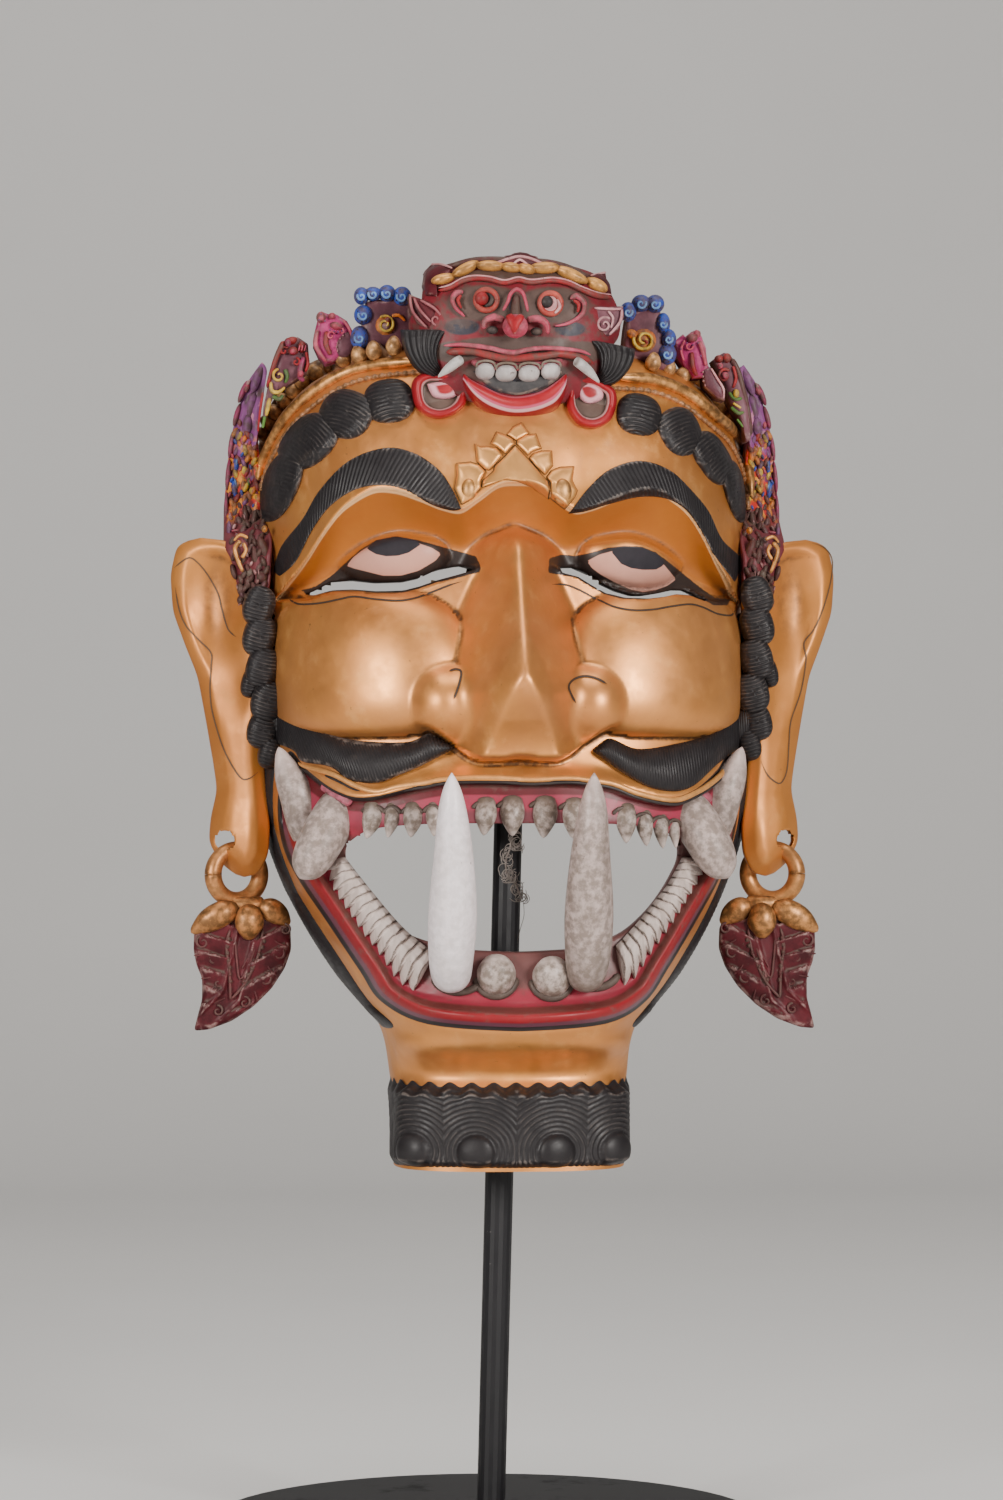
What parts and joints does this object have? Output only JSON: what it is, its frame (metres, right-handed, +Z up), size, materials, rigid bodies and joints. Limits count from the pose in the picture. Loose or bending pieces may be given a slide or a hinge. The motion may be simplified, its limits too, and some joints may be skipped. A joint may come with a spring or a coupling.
{
  "type": "dance mask on stand",
  "caption": "Carved and gilded wooden dance mask of a tusked giant with a crown, long ears and leaf earrings, held upright by a rod on a round foot.",
  "frame": {"origin": "centre of the foot's underside", "axes": "+Z up, -Y the way the mask faces, +X to the viewer's right"},
  "size_m": [0.2176, 0.18, 0.4169],
  "materials": {
    "gilded_wood": "worn gold leaf and paint on carved wood",
    "white_paint": "white painted wood",
    "grey_paint": "aged grey painted wood",
    "maroon_paint": "maroon painted and gilded wood",
    "black_iron": "matt black paint"
  },
  "bodies": {
    "root": {"mask": "gilded_wood", "left_long_fang": "white_paint", "right_long_fang": "grey_paint", "left_lower_tusk": "grey_paint", "right_lower_tusk": "grey_paint", "left_upper_tusk": "grey_paint", "right_upper_tusk": "grey_paint", "left_earring": "maroon_paint", "right_earring": "maroon_paint", "stand_rod": "black_iron", "stand_foot": "black_iron"}
  },
  "joints": []
}
